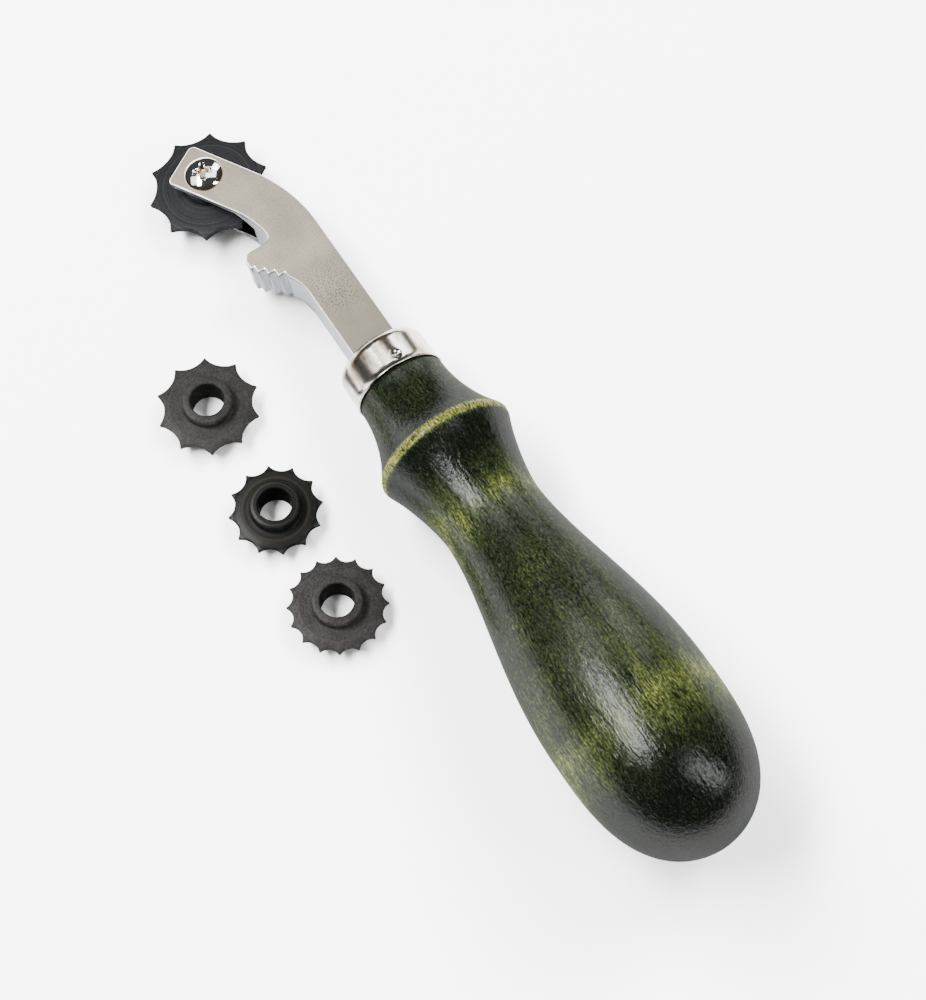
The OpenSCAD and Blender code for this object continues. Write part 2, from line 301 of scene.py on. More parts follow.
# %% Mix the stained and lacquered wood
def stained_wood():
    """Turned beech, stained and lacquered: deep green with a wet, slightly broken gloss."""
    material, tree, surface, where = finish(
        "stained_lacquered_beech", laid,
        Coat_Weight=0.075, Coat_Roughness=0.075, Coat_IOR=2.5, Specular_IOR_Level=0.0)
    along = add(tree, SEPARATE, [where], "X")
    # The bands wander to and fro, as a rag does, but the crest's line is straight.
    wander = add(tree, RANGE, [blotches(tree, where, (7, 5, 5), 3), 0.3, 0.7, -1.3, 1.3])
    wandered = add(tree, MATH, [along, wander], operation="ADD")
    band_at = add(tree, MATH, [wandered, HANDLE_LENGTH], operation="DIVIDE")
    crest_at = add(tree, MATH, [along, HANDLE_LENGTH], operation="DIVIDE")
    bands = add(tree, RAMP, [band_at], stops=RUBBED_BANDS)
    crest = add(tree, RAMP, [crest_at], stops=CREST_LINE)
    clouds = add(tree, RANGE, [blotches(tree, where, (10, 5, 5), 2), 0.35, 0.68, 0.74, 1.22])
    clouded = add(tree, MATH, [bands, clouds], operation="MULTIPLY")
    shade = add(tree, MATH, [crest, 0.50, clouded], operation="MULTIPLY_ADD")
    # Grain is long fibres and short specks. It shows most where the wood is rubbed light.
    fibres = blotches(tree, where, (3.5, FIBRE, FIBRE), 5, 0.65)
    specks = blotches(tree, where, (0.4, FIBRE, FIBRE), 2, 0.5)
    grain = add(tree, MATH, [
        add(tree, RANGE, [fibres, 0.3, 0.7, -0.12, 0.12]),
        add(tree, RANGE, [specks, 0.35, 0.65, -0.11, 0.11])], operation="ADD")
    strength = add(tree, RANGE, [shade, 0.0, 0.6, 0.5, 1.5])
    shade = add(tree, MATH, [grain, strength, shade], operation="MULTIPLY_ADD")
    # Ticks are open pores that hold dark stain, 1 to 2 mm long.
    ticks = blotches(tree, where, (1.6, FIBRE, FIBRE), 2, 0.5)
    pores = add(tree, RANGE, [ticks, 0.56, 0.66, 1.0, 0.35])
    shade = add(tree, MATH, [shade, pores], operation="MULTIPLY")
    tree.links.new(add(tree, RAMP, [shade], stops=STAIN), surface["Base Color"])
    tree.links.new(add(tree, RANGE, [fibres, 0.3, 0.7, 0.38, 0.55]), surface["Roughness"])
    dents = add(tree, MATH, [ticks, 0.4], operation="MULTIPLY")
    relief = add(tree, MATH, [fibres, 0.6, dents], operation="MULTIPLY_ADD")
    tree.links.new(add(tree, BUMP, {"Height": relief, "Distance": 0.10 * MM, "Strength": 0.5}),
                   surface["Normal"])
    # The lacquer has long ridges over the fibres, a fine peel, and short checks that dip.
    ridges = blotches(tree, where, (4.2, 0.45, 0.45), 4, 0.6)
    peel = blotches(tree, where, (0.7, 0.5, 0.5), 3, 0.6)
    checks = add(tree, RANGE, [
        blotches(tree, where, (1.8, 0.3, 0.3), 1, 0.5), 0.60, 0.68, 0.0, -0.16])
    checked = add(tree, MATH, [peel, 0.35, checks], operation="MULTIPLY_ADD")
    film = add(tree, MATH, [ridges, 0.7, checked], operation="MULTIPLY_ADD")
    tree.links.new(add(tree, BUMP, {"Height": film, "Distance": 0.19 * MM, "Strength": 0.6}),
                   surface["Coat Normal"])
    return material


wood = stained_wood()

# %% [markdown]
# ## The handle
# A lathe leaves a shape that is only a radius for each place along the axis: a slow
# rise to a bead, a fall to the neck, a long swell to the bulb and a rounded butt. A
# subdivided cage could follow it too, but a formula keeps each size in one named number.
# The rise and the fall would meet in a sharp edge at the bead, so a smooth minimum of the
# two rounds the crest, and a small lift gives back the height which that takes away.

# %% Turn the handle
def handle_radius(x):
    """The wood's radius at a distance from the ferrule's rear rim."""
    if x > BULB_X:
        return BULB_R * math.sqrt(max(0.0, 1 - ((x - BULB_X) / (HANDLE_LENGTH - BULB_X)) ** 3))
    if x > NECK_X:
        share = ((x - NECK_X) / (BULB_X - NECK_X)) ** 0.85
        return NECK_R + (BULB_R - NECK_R) / 2 * (1 - math.cos(math.pi * share))
    rise = SHOULDER_R + (BEAD_R - SHOULDER_R) * (x / BEAD_X) ** 2
    fall = NECK_R + (BEAD_R - NECK_R) * ((NECK_X - x) / (NECK_X - BEAD_X)) ** 1.6
    least = -CREST_BLEND * math.log(math.exp(-rise / CREST_BLEND) + math.exp(-fall / CREST_BLEND))
    return least + CREST_BLEND * math.log(2) * math.exp(-((x - BEAD_X) / 1.5) ** 2)


def build_handle():
    inside = [(BORE_END, 0), (BORE_END, BORE_R), (-SPIGOT_LENGTH, BORE_R),
              (-SPIGOT_LENGTH, SPIGOT_R), (-0.05, SPIGOT_R), (0.02, SPIGOT_R + 0.1),
              (0.02, SHOULDER_R - 0.22), (0.12, SHOULDER_R - 0.08)]
    start, steps = 0.3, 150
    lengths = [start + (BULB_X - start) * i / steps for i in range(steps + 1)]
    body = [(x, handle_radius(x)) for x in lengths]
    # The rings of the butt crowd towards its pole, where the radius falls fastest.
    steps = 48
    for i in range(1, steps + 1):
        x = BULB_X + (HANDLE_LENGTH - BULB_X) * math.sin(math.pi / 2 * i / steps)
        body.append((x, 0 if i == steps else handle_radius(x)))
    return lathe("turned_handle", inside + body, around=192)


finish_piece(build_handle(), laid, wood, "tool", "handle")

# %% [markdown]
# ## The ferrule
# The ferrule is a cup pressed from thin brass sheet and nickel plated. It stops the wood
# from splitting where the tang goes in. Its front shoulder is rounded by the press, its
# rear rim flares a little, and one punched dimple keys it to the wood. The profile is
# turned as before. The dimple could be cut out with a ball, but a punch leaves a soft lip,
# so it is pushed into the turned mesh near one point, and the mesh is fine enough for it.
# Nickel is a warm white, and an old plate is browner where it has worn thin, so its colour
# and its gloss drift together.

# %% Set the ferrule's sizes
FERRULE_LENGTH, FERRULE_R, SHEET = 5.6, 6.05, 0.5
SHOULDER_ROUND, FLARE_START, FLARE = 1.5, -1.1, 0.16
DIMPLE_X, DIMPLE_TURN, DIMPLE_R, DIMPLE_DEPTH = -1.5, math.radians(11), 0.52, 0.20


# %% Plate the ferrule
def plated_sheet():
    """Nickel on pressed brass: a bright, clear mirror with warm, hazy stretches."""
    material, tree, surface, where = finish("nickel_plated_sheet", laid, Metallic=1.0)
    haze = blotches(tree, where, (5, 1.6, 1.6), 4)
    scuffs = blotches(tree, where, (0.15, 1.8, 1.8), 3)
    warm = add(tree, RAMP, [haze], stops=[
        (0.34, "#6e6454"), (0.46, "#9d9588"), (0.60, "#c6c3bc")])
    tree.links.new(warm, surface["Base Color"])
    tree.links.new(add(tree, RANGE, [haze, 0.3, 0.7, 0.26, 0.13]), surface["Roughness"])
    tree.links.new(add(tree, BUMP, {"Height": scuffs, "Distance": 0.02 * MM, "Strength": 0.25}),
                   surface["Normal"])
    return material


# %% Turn the ferrule
def dimpled(x, radius, turn):
    """Pushes the outer skin in at the dimple, and raises a faint lip round it."""
    off_turn = (turn - DIMPLE_TURN + math.pi) % (2 * math.pi) - math.pi
    away = math.hypot(x - DIMPLE_X, off_turn * radius)
    if away > 2 * DIMPLE_R or radius < FERRULE_R - 0.1:
        return radius
    if away < DIMPLE_R:
        return radius - DIMPLE_DEPTH * (1 - (away / DIMPLE_R) ** 2) ** 0.75
    return radius + 0.03 * math.sin(math.pi * (away - DIMPLE_R) / DIMPLE_R) ** 2


def build_ferrule():
    front = -FERRULE_LENGTH
    start = front + SHOULDER_ROUND
    outside = [(front, BORE_R), (front, 3.2), (front, 3.9)]
    outside += arc((start, FERRULE_R - SHOULDER_ROUND), SHOULDER_ROUND, 180, 90, 24)
    end, steps = -0.25, 44
    for i in range(1, steps + 1):
        x = start + (end - start) * i / steps
        share = max(0.0, (x - FLARE_START) / (end - FLARE_START))
        outside.append((x, FERRULE_R + FLARE * share ** 2))
    lip = arc((-0.17, FERRULE_R + 0.03), 0.15, 100, -70, 8)
    inner = FERRULE_R - SHEET
    inner_start, inner_round = front + 1.5, 1.0
    inside = [(-0.3, inner + 0.12), (-0.8, inner), (inner_start, inner)]
    inside += arc((inner_start, inner - inner_round), inner_round, 90, 180, 8)
    inside += [(front + SHEET, BORE_R), (front, BORE_R)]
    return lathe("dimpled_ferrule", outside + lip + inside, around=384, shape=dimpled)


finish_piece(build_ferrule(), laid, plated_sheet(), "tool", "ferrule")

# %% [markdown]
# ## The fork
# The fork is one casting: two tines with a slot between them, a bent shank, a stepped
# thumb rest and a tang that is hidden in the wood. It could be modelled from boxes, but
# the whole of it has one outline seen from above, so the outline is drawn with straight
# lines and arcs and extruded. The slot, the screw's hole and its seat are then cut, and
# every edge is rounded as plating rounds it, because that edge catches the bright line.

# %% Set the fork's sizes
FORK_T, BAR_HALF = 6.6, 3.15
NOSE, NOSE_CORNER, BEND_R = 3.8, 0.8, 22.0
REST_X, REST_DROP, REST_TIP_R, REST_TIP_LENGTH, REST_RELIEF = -26.4, -7.6, 1.3, 2.3, 0.7
NOTCH_R, STEPS, STEP_LENGTH, STEP_RISE = 1.0, 4, 1.0, 0.95
HEEL_DROP, HEEL_LENGTH, HEEL_R = 1.1, 0.75, 7.0
TANG_R, TANG_LENGTH = 2.5, 24.0
SLOT_HALF, SLOT_TAPER, SLOT_ROOM = 2.45, 3.0, 1.15
SLOT_END_UP, SLOT_END_DOWN = 0.8, 2.0
HEAD_Z, SCREW_HEAD_R, SEAT_R, SEAT_FLARE = 3.0, 2.575, 2.925, 0.12
THREADED_HOLE_R, SHOULDER_HOLE_R, EDGE_ROUND = 1.72, 2.2, 0.26


# %% Work out how far a wheel's points reach
def tip_radius(per_inch, teeth):
    """The circle through the points: one stitch length of its round for each tooth."""
    return teeth * 25.4 / per_inch / (2 * math.pi)


MOUNTED_R = tip_radius(5, 10)
print(f"mounted wheel: points {MOUNTED_R:.2f} mm from the axle")


# %% Draw the fork's outline
def fork_outline():
    """The fork from above, from its upper edge at the ferrule round to its lower edge."""
    angle = math.degrees(head_angle)
    along = Vector((math.cos(head_angle), math.sin(head_angle)))
    left = Vector((-along.y, along.x))
    axle = AXLE.xy
    inner_r = BEND_R - 2 * BAR_HALF
    bend_x = axle.x + ((BAR_HALF - BEND_R - axle.y) * along.x - (BAR_HALF - BEND_R)) / along.y
    bend = Vector((bend_x, BAR_HALF - BEND_R))
    notch = Vector((REST_X - NOTCH_R, 0))
    notch.y = bend.y + math.sqrt((inner_r - NOTCH_R) ** 2 - (notch.x - bend.x) ** 2)
    notch_turn = math.degrees(math.atan2(notch.y - bend.y, notch.x - bend.x))
    front_top = axle - (NOSE - NOSE_CORNER) * along + (BAR_HALF - NOSE_CORNER) * left
    front_low = axle - (NOSE - NOSE_CORNER) * along - (BAR_HALF - NOSE_CORNER) * left
    points = [(-FERRULE_LENGTH, BAR_HALF)] + arc(bend, BEND_R, 90, 90 + angle, 24)
    points += arc(front_top, NOSE_CORNER, 90 + angle, 180 + angle, 8)
    points += arc(front_low, NOSE_CORNER, 180 + angle, 270 + angle, 8)
    points += arc(bend, inner_r, 90 + angle, notch_turn, 20)
    points += arc(notch, NOTCH_R, notch_turn, 0, 12)[1:]
    points += arc((REST_X + REST_TIP_R, REST_DROP + REST_TIP_R), REST_TIP_R, 180, 270, 10)
    tread = REST_X + REST_TIP_LENGTH
    heel = -BAR_HALF - HEEL_DROP
    points.append((tread, REST_DROP))
    for k in range(STEPS):
        height = heel - (STEPS - 1 - k) * STEP_RISE
        length = STEP_LENGTH if k < STEPS - 1 else HEEL_LENGTH
        points += [(tread, height), (tread + length, height)]
        tread += length
    turn = math.degrees(math.acos((HEEL_R - HEEL_DROP) / HEEL_R))
    hollow = (tread + HEEL_R * math.sin(math.radians(turn)), -BAR_HALF - HEEL_R)
    points += arc(hollow, HEEL_R, 90 + turn, 90, 10)[1:]
    points.append((-FERRULE_LENGTH, -BAR_HALF))
    return points


# %% Cut the fork
def turned_about_axle(name, profile, around=64):
    """A turned cutter whose axis is the axle's. Its profile is (height, radius)."""
    cutter = lathe(name, profile, around)
    cutter.data.transform(Matrix.Translation(AXLE) @ upright)
    return cutter


def build_fork():
    top = FORK_T / 2
    piece = prism("cast_fork", fork_outline(), -top, top)
    slot_end = MOUNTED_R + SLOT_ROOM
    slot = prism("slot", [
        (-NOSE - 1, -SLOT_HALF), (slot_end - SLOT_TAPER, -SLOT_HALF), (slot_end, -SLOT_END_DOWN),
        (slot_end, SLOT_END_UP), (slot_end - SLOT_TAPER, SLOT_HALF), (-NOSE - 1, SLOT_HALF)],
        -10, 10)
    slot.data.transform(Matrix.Translation(AXLE) @ Matrix.Rotation(head_angle, 4, "Z")
                        @ Matrix.Rotation(math.pi / 2, 4, "X"))
    relief_end = -9.0
    relief = prism("relief", [
        (REST_X, REST_DROP - 1), (relief_end, REST_DROP - 1), (relief_end, -BAR_HALF),
        (REST_X, -BAR_HALF)], -2 * top, REST_RELIEF - top)
    combine(piece, slot, "DIFFERENCE")
    combine(piece, relief, "DIFFERENCE")
    soften(piece, EDGE_ROUND, 3, 40)
    hole = turned_about_axle("hole", [
        (-5, 0), (-5, THREADED_HOLE_R), (0, THREADED_HOLE_R), (0, SHOULDER_HOLE_R),
        (5, SHOULDER_HOLE_R), (5, 0)])
    seat = turned_about_axle("seat", [
        (HEAD_Z, 0), (HEAD_Z, SEAT_R - SEAT_FLARE),
        (HEAD_Z + SEAT_FLARE / 2, SEAT_R - SEAT_FLARE / 2), (top + 0.02, SEAT_R + SEAT_FLARE),
        (top + 1, SEAT_R + SEAT_FLARE), (top + 1, 0)], 96)
    combine(piece, hole, "DIFFERENCE")
    combine(piece, seat, "DIFFERENCE")
    tang_start, tang_end = -FERRULE_LENGTH - 1, TANG_LENGTH - FERRULE_LENGTH
    tang = lathe("tang", [
        (tang_start, 0), (tang_start, TANG_R), (tang_end - 0.5, TANG_R), (tang_end, TANG_R - 0.5),
        (tang_end, 0)], 64)
    return combine(piece, tang, "UNION")


# %% [markdown]
# ## The fork's plating
# A casting keeps a fine grain under its nickel plate. The flat faces were left satin, and a
# patch in the middle of the shank is coarser, where the plate is pitted and worn. The
# rounded edges were buffed smoother. Light is painted along them: a painted dark line for the
# dark room they mirror, then a painted highlight. The side walls are painted a cool grey
# for the pale bench they mirror. The surface's own direction tells the three apart: a flat
# face points along the fork's normal, a side wall points across it, and an edge points
# between. Three materials could do it too, but they would meet in hard lines, and plate has
# none.

# %% Set the plating's looks
# From the side wall over the rounded edge to the face, all painted light: a cool grey for
# the bench the wall mirrors, a painted dark line for the dark room, then a painted highlight.
PAINTED_EDGE_LIGHT = [(0.0, "#73777d"), (0.05, "#73777d"), (0.11, "#1b1c1e"), (0.56, "#26282b"),
             (0.68, "#ffffff"), (0.95, "#ffffff")]
FACE_LOOK = [(0.3, "#857f70"), (0.7, "#9d9788")]
# A pit's colour, then a painted shade, nearly black, for the slot's inner faces.
PIT_COLOUR, SLOT_SHADE_COLOUR = "#4f4a40", "#171615"
PATCH_CENTRE, PATCH_R = (-14.5, -0.2, 3.3), 7.0
# Cast grain is under 0.1 mm, too fine to show, so it is drawn two or three times as coarse.
FINE_GRAIN, COARSE_GRAIN = (0.3, 0.3, 0.3), (0.22, 0.22, 0.22)


# %% Plate the fork
def plated_casting():
    """Nickel on a casting: satin, faintly pitted faces, painted edge light and a painted dark slot."""
    material, tree, surface, where = finish("satin_nickel_casting", laid, Metallic=1.0)
    normal = add(tree, "ShaderNodeNewGeometry", out="Normal")
    facing = add(tree, VECTOR_MATH, [normal, fork_normal], "Value", operation="DOT_PRODUCT")
    turned = add(tree, MATH, [facing], operation="ABSOLUTE")
    flat = add(tree, RANGE, [turned, 0.93, 0.995])
    side = add(tree, RANGE, [turned, 0.30, 0.05])
    fine = blotches(tree, where, FINE_GRAIN, 2, 0.6)
    coarse = blotches(tree, where, COARSE_GRAIN, 2, 0.6)
    from_patch = add(tree, VECTOR_MATH, [where, PATCH_CENTRE], "Value", operation="DISTANCE")
    patch = add(tree, MATH, [
        add(tree, RANGE, [from_patch, 0.5, PATCH_R, 1.0, 0.0]), flat], operation="MULTIPLY")
    tone = add(tree, RAMP, [blotches(tree, where, (6, 6, 6), 3)], stops=FACE_LOOK)
    # The side walls and rounded edges get painted reflections and a painted highlight.
    edge = add(tree, RAMP, [turned], stops=PAINTED_EDGE_LIGHT)
    plate = add(tree, MIX, {"Factor": flat, 6: edge, 7: tone}, 2, data_type="RGBA")
    # Pits darken the flat faces a little and the patch a lot. The flat faces also darken along the shank towards
    # the ferrule.
    along = add(tree, SEPARATE, [where], "X")
    darkening_towards_ferrule = add(tree, MATH, [
        add(tree, RANGE, [along, -22, -11, 0.0, 0.5]), flat], operation="MULTIPLY")
    patch_pits = add(tree, MATH, [patch, 0.75], operation="MULTIPLY")
    share = add(tree, MATH, [flat, 0.30, patch_pits], operation="MULTIPLY_ADD")
    pits = add(tree, MATH, [
        add(tree, RANGE, [coarse, 0.42, 0.60]), share], operation="MULTIPLY")
    pitted = add(tree, MIX, {
        "Factor": add(tree, MATH, [pits, darkening_towards_ferrule], operation="MAXIMUM"), 6: plate,
        7: colour(PIT_COLOUR)}, 2, data_type="RGBA")
    # The slot's inner faces get a painted shade, nearly black, for the dark gap between the tines.
    height = add(tree, MATH, [add(tree, SEPARATE, [where], "Z")], operation="ABSOLUTE")
    inner = add(tree, MATH, [
        add(tree, RANGE, [height, SLOT_HALF + 0.05, SLOT_HALF + 0.01]),
        add(tree, RANGE, [turned, 0.5, 0.8])], operation="MULTIPLY")
    plated = add(tree, MIX, {"Factor": inner, 6: pitted, 7: colour(SLOT_SHADE_COLOUR)}, 2,
                 data_type="RGBA")
    tree.links.new(plated, surface["Base Color"])
    satin = add(tree, RANGE, [flat, 0.0, 1.0, 0.30, 0.44])
    tree.links.new(add(tree, MATH, [side, 0.12, satin], operation="MULTIPLY_ADD"),
                   surface["Roughness"])
    depth = add(tree, RANGE, [patch, 0.0, 1.0, 0.25, 1.0])
    deep = add(tree, MATH, [coarse, depth], operation="MULTIPLY")
    grain = add(tree, MATH, [fine, 0.5, deep], operation="MULTIPLY_ADD")
    tree.links.new(add(tree, BUMP, {"Height": grain, "Distance": 0.05 * MM, "Strength": 0.55}),
                   surface["Normal"])
    return material


finish_piece(build_fork(), laid, plated_casting(), "tool", "wheel_fork", 28,
             flat_faces=True)

# %% [markdown]
# ## The axle screw
# One chromed screw is the wheel's axle and also its fastening. Its head is a low dome
# with a cross recess, its plain shoulder carries the wheel, and its end is threaded into
# the far tine. The thread is a helix. It could be a coil laid on a rod, but then the two
# would cross, so each ring's radius depends on its turn as well as on its height. The
# recess is a cross whose wings run in to a point as the driver's do.
# Chrome is a hard, colourless mirror, so its look is what it reflects. The plating bath
# hardly reaches the bottom of the recess, and the brass under it shows there.

# %% Set the screw's sizes
SHOULDER_SCREW_R, THREAD_R, THREAD_DEPTH, THREAD_PITCH = 2.15, 1.7, 0.26, 0.6
THREAD_END, SCREW_RIM, SCREW_DOME, RECESS_ROUND = -2.55, 0.5, 0.75, 0.05
RECESS_TURN, RECESS_DEPTH = math.radians(35), 1.3
# Down the recess: the height above the dome's top, the wing's reach and half its width.
RECESS_SECTIONS = [
    (0.5, 1.62, 0.43), (-0.15, 1.30, 0.38), (-0.75, 0.80, 0.30), (-1.15, 0.42, 0.24)]


# %% Cut the screw
def threaded(x, radius, turn):
    """A pointed ridge that climbs one pitch a turn, and fades below the shoulder."""
    if radius > THREAD_R + 0.01:
        return radius
    phase = (x / THREAD_PITCH - turn / (2 * math.pi)) % 1.0
    valley = 1 - abs(2 * phase - 1)
    fade = min(1.0, max(0.0, (THREAD_END - x) * 6)) if x > THREAD_END - 0.15 else 1.0
    return radius - THREAD_DEPTH * valley * fade


def recess_cutter(top):
    """A cross that narrows downwards to a blunt point."""
    points = []
    for height, reach, half in RECESS_SECTIONS:
        for k in range(4):
            turn = RECESS_TURN + k * math.pi / 2
            web = half * 1.35
            wing = [(web, -half), (reach - 0.12, -half), (reach, -half + 0.12),
                    (reach, half - 0.12), (reach - 0.12, half), (web, half)]
            for x, y in wing:
                points.append((x * math.cos(turn) - y * math.sin(turn),
                               x * math.sin(turn) + y * math.cos(turn), top + height))
    ring = len(points) // len(RECESS_SECTIONS)
    last = len(points) - ring
    faces = [tuple(range(ring))]
    for start in range(0, last, ring):
        for i in range(ring):
            a, b = start + i, start + (i + 1) % ring
            faces.append((a, b, b + ring, a + ring))
    faces += [(last + i, last + (i + 1) % ring, len(points)) for i in range(ring)]
    points.append((0, 0, top - RECESS_DEPTH))
    cutter = new_piece("recess", points, faces)
    work = bmesh.new()
    work.from_mesh(cutter.data)
    bmesh.ops.recalc_face_normals(work, faces=work.faces)
    work.to_mesh(cutter.data)
    work.free()
    return cutter


def build_screw():
    top = HEAD_Z + SCREW_RIM + SCREW_DOME
    tip, start, end = -FORK_T / 2, -FORK_T / 2 + 0.2, -SLOT_HALF - 0.02
    profile = [(tip, 0), (tip, THREAD_R - 0.3)]
    rings = 26
    profile += [(start + (end - start) * i / rings, THREAD_R) for i in range(rings + 1)]
    profile += [(-SLOT_HALF, SHOULDER_SCREW_R - 0.08), (-SLOT_HALF + 0.08, SHOULDER_SCREW_R),
                (HEAD_Z, SHOULDER_SCREW_R), (HEAD_Z, SCREW_HEAD_R - 0.06),
                (HEAD_Z + 0.06, SCREW_HEAD_R), (HEAD_Z + SCREW_RIM - 0.12, SCREW_HEAD_R)]
    dome_r = (SCREW_HEAD_R ** 2 + SCREW_DOME ** 2) / (2 * SCREW_DOME)
    steps = 24
    for i in range(1, steps + 1):
        share = i / steps
        radius = SCREW_HEAD_R * math.cos(math.pi / 2 * share)
        height = math.sqrt(dome_r ** 2 - radius ** 2) - dome_r - 0.12 * (1 - share) ** 6
        profile.append((top + height, 0 if i == steps else radius))
    piece = lathe("cross_recess_screw", profile, 128, threaded)
    piece.data.transform(upright)
    combine(piece, recess_cutter(top), "DIFFERENCE")
    return soften(piece, RECESS_ROUND, 2, 38)


# %% Chrome the screw
def bright_chrome():
    """Bright chrome on brass: a sharp mirror, and a yellow glint deep in the recess."""
    material, tree, surface, where = finish(
        "bright_chrome_plate", at_axle, Metallic=1.0, Roughness=0.06)
    depth = add(tree, RANGE, [add(tree, SEPARATE, [where], "Z"), 3.9, 3.4, 0.0, 0.8])
    plate = add(tree, MIX, {"Factor": depth, 6: colour("#f0efed"), 7: colour("#b79a68")}, 2,
                data_type="RGBA")
    tree.links.new(plate, surface["Base Color"])
    ripple = blotches(tree, where, (0.8, 0.8, 0.8), 3)
    tree.links.new(add(tree, BUMP, {"Height": ripple, "Distance": 0.01 * MM, "Strength": 0.3}),
                   surface["Normal"])
    return material


screw = finish_piece(build_screw(), at_axle, bright_chrome(), "axle", "axle_screw",
                     30, flat_faces=True)

# %% [markdown]
# ## The marking wheels
# Each wheel is turned from steel rod with a hub on both sides of a thin disc. Hollows are
# then milled into the rim, and the points left between them are the teeth. All four wheels
# follow one rule: the points stand on a circle whose circumference is the number of teeth
# times the stitch length. So one slice of a wheel, from one point to the next, says it
# all. A Geometry Nodes tree repeats the slice round the axle and welds the copies. That is
# lighter and cleaner than cutting sixteen hollows with booleans.

# %% Set the wheels' sizes
WHEEL_BORE_R, HUB_R, HUB_HALF, DISC_HALF, TIP_HALF = 2.2, 3.2, 2.35, 0.6, 0.25
BEVEL_WIDTH, TIP_LAND, HOLLOW_BASE, HOLLOW_SHARE = 1.6, 0.12, 0.35, 0.10
CHAMFER, FILLET, RIM_ROUND = 0.14, 0.22, 0.05


# %% Shape one slice of a wheel
def rim_reach(tip_r, teeth, turn):
    """How far the rim reaches at a turn from the middle of a hollow."""
    half = math.pi / teeth - math.asin(TIP_LAND / 2 / tip_r)
    chord = 2 * tip_r * math.sin(half)
    depth = HOLLOW_BASE + HOLLOW_SHARE * chord
    hollow_r = chord ** 2 / (8 * depth) + depth / 2
    centre = tip_r * math.cos(half) - depth + hollow_r
    inside = hollow_r ** 2 - (centre * math.sin(turn)) ** 2
    reach = centre * math.cos(turn) - math.sqrt(max(inside, 0.0))
    return tip_r if abs(turn) >= half else min(reach, tip_r)


def slice_profile(tip_r, reach):
    """The upper half of a slice's edge, from the bore out to the rim, as (radius, height)."""
    flat_r = tip_r - BEVEL_WIDTH
    thin = DISC_HALF - (DISC_HALF - TIP_HALF) * (reach - flat_r) / BEVEL_WIDTH
    upper = [(WHEEL_BORE_R, 0.0), (WHEEL_BORE_R, HUB_HALF - CHAMFER),
             (WHEEL_BORE_R + 0.4 * CHAMFER, HUB_HALF - 0.35 * CHAMFER),
             (WHEEL_BORE_R + CHAMFER, HUB_HALF), (HUB_R - CHAMFER, HUB_HALF),
             (HUB_R - 0.3 * CHAMFER, HUB_HALF - 0.3 * CHAMFER), (HUB_R, HUB_HALF - CHAMFER)]
    upper += arc((HUB_R + FILLET, DISC_HALF + FILLET), FILLET, 180, 270, 5)
    # The disc is flat up to a soft ridge, and thins from there to the points.
    ridge_r, ridge_z = flat_r + 0.08, DISC_HALF - 0.02
    upper += [(flat_r - 0.08, DISC_HALF), (ridge_r, ridge_z)]
    upper += [(ridge_r + (reach - RIM_ROUND - ridge_r) * share, ridge_z + (thin - ridge_z) * share)
              for share in (0.5, 1.0)]
    upper += [(reach - 0.3 * RIM_ROUND, thin - 0.3 * RIM_ROUND), (reach, thin - RIM_ROUND)]
    return upper


def build_slice(name, tip_r, teeth):
    """A slice of the wheel about Z, from one tooth's point to the next."""
    half = math.pi / teeth
    steps = 28
    turns = [half * math.sin(math.pi / 2 * (2 * i / steps - 1)) for i in range(steps + 1)]
    points = []
    for turn in turns:
        upper = slice_profile(tip_r, rim_reach(tip_r, teeth, turn))
        edge = upper + [(r, -z) for r, z in reversed(upper[1:])]
        points += [(r * math.cos(turn), r * math.sin(turn), z) for r, z in edge]
    n = len(points) // len(turns)
    faces = []
    for i in range(steps):
        for k in range(n):
            a, b = i * n + k, i * n + (k + 1) % n
            faces.append((a, b, b + n, a + n))
    return new_piece(name, points, faces)


# %% Repeat the slice with Geometry Nodes
def tooth_ring_tree():
    """Copies a slice round Z, one for each tooth, and welds the seams."""
    tree = bpy.data.node_groups.new("ring_of_teeth", "GeometryNodeTree")
    for name, kind in (("Slice", "Geometry"), ("Teeth", "Int"), ("Weld distance", "Float"),
                       ("Finish", "Material")):
        tree.interface.new_socket(name=name, in_out="INPUT", socket_type="NodeSocket" + kind)
    tree.interface.new_socket(name="Wheel", in_out="OUTPUT", socket_type="NodeSocketGeometry")
    given = add(tree, "NodeGroupInput").node.outputs
    step = add(tree, MATH, [2 * math.pi, given["Teeth"]], operation="DIVIDE")
    angle = add(tree, MATH, [add(tree, "GeometryNodeInputIndex"), step], operation="MULTIPLY")
    turn = add(tree, "FunctionNodeAxisAngleToRotation", {"Axis": (0, 0, 1), "Angle": angle})
    places = add(tree, "GeometryNodePoints", {"Count": given["Teeth"]})
    copies = add(tree, "GeometryNodeInstanceOnPoints", {
        "Points": places, "Instance": given["Slice"], "Rotation": turn})
    real = add(tree, "GeometryNodeRealizeInstances", [copies])
    weld = add(tree, "GeometryNodeMergeByDistance", {
        "Geometry": real, "Distance": given["Weld distance"]})
    dressed = add(tree, "GeometryNodeSetMaterial", {
        "Geometry": weld, "Material": given["Finish"]})
    add(tree, "NodeGroupOutput", [dressed])
    return tree


ring_of_teeth = tooth_ring_tree()
socket_ids = {item.name: item.identifier for item in ring_of_teeth.interface.items_tree}
print("ring of teeth:", len(ring_of_teeth.nodes), "nodes")


def build_wheel(name, tip_r, teeth, material):
    piece = build_slice(name, tip_r, teeth)
    modifier = piece.modifiers.new("teeth", "NODES")
    modifier.node_group = ring_of_teeth
    modifier[socket_ids["Teeth"]] = teeth
    modifier[socket_ids["Weld distance"]] = 0.001
    modifier[socket_ids["Finish"]] = material
    return bake(piece)


